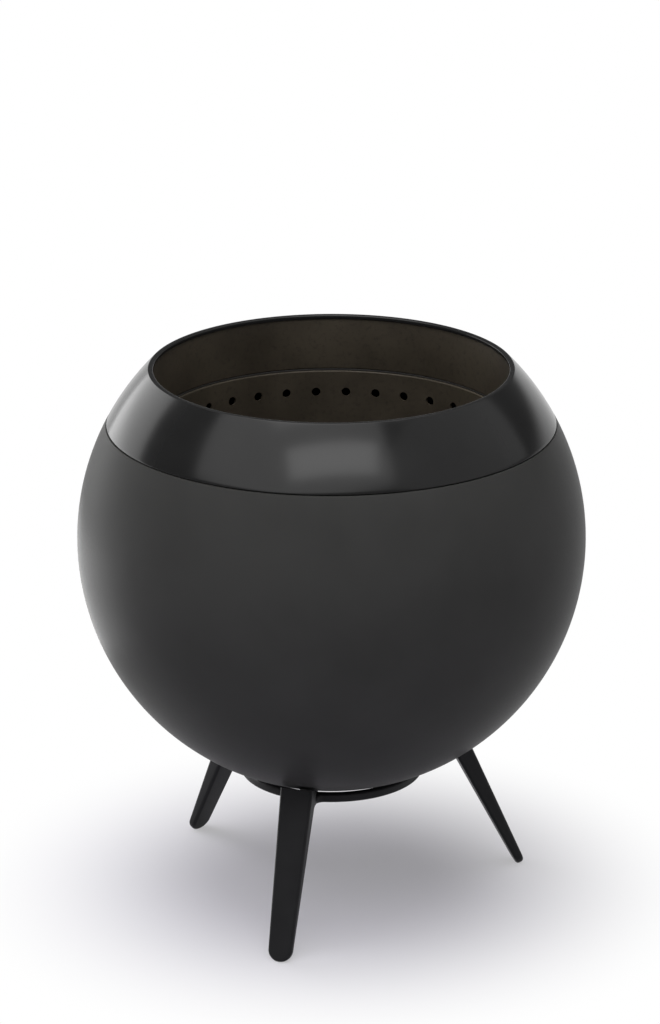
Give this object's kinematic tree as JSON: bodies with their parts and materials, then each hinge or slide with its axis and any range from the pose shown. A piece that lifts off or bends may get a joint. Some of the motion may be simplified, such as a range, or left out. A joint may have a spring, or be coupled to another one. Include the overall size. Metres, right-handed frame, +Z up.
{
  "type": "ball-shaped brazier",
  "caption": "Free-standing fire bowl: a steel ball with a lift-off collar, inner bowl, grate and ash tray, on a cast ring with splayed legs.",
  "frame": {"origin": "on the floor, under the middle of the ball", "axes": "+Z up through the mouth; -Y towards the front leg; the other two legs stand at 30 and 150 degrees from +X"},
  "size_m": [0.4499, 0.45, 0.4909],
  "materials": {
    "shell_coat": "matte charcoal powder coat, fine texture",
    "collar_enamel": "satin grey-black heat-proof enamel",
    "stand_coat": "satin black powder coat on cast metal",
    "fired_steel": "plain rolled steel, heat-darkened brown-black",
    "hidden_steel": "matte black stove paint",
    "grate_iron": "raw cast iron, sooty",
    "tray_steel": "zinc-coated sheet, dulled by ash",
    "screw_steel": "blackened screw steel"
  },
  "bodies": {
    "root": {"lower_shell": "shell_coat", "seat_ring": "hidden_steel", "heat_shield": "tray_steel", "shield_spacers": "screw_steel", "ball_screws": "screw_steel", "ball_screw_washers": "screw_steel", "stand_ring": "stand_coat", "leg_front": "stand_coat", "leg_right": "stand_coat", "leg_left": "stand_coat", "leg_screws": "screw_steel", "leg_screw_washers": "screw_steel"},
    "bowl": {"bowl_floor": "fired_steel", "bowl_cone": "fired_steel", "bowl_wall": "fired_steel", "bowl_flange": "fired_steel"},
    "collar": {"collar_skin": "collar_enamel", "collar_liner": "fired_steel", "collar_base": "hidden_steel", "collar_rivets": "screw_steel"},
    "tray": {"ash_tray": "tray_steel", "tray_handle": "tray_steel", "tray_rivets": "screw_steel"},
    "fire_grate": {"grate": "grate_iron"}
  },
  "joints": [
    {"name": "fire_bowl_lift", "type": "slide", "parent": "root", "child": "bowl", "axis": [0, 0, 1], "range_m": [0, 0.28]},
    {"name": "collar_lift", "type": "slide", "parent": "bowl", "child": "collar", "axis": [0, 0, 1], "range_m": [0, 0.08]},
    {"name": "ash_tray_lift", "type": "slide", "parent": "bowl", "child": "tray", "axis": [0, 0, 1], "range_m": [0, 0.33]},
    {"name": "grate_lift", "type": "slide", "parent": "tray", "child": "fire_grate", "axis": [0, 0, 1], "range_m": [0, 0.27]}
  ]
}
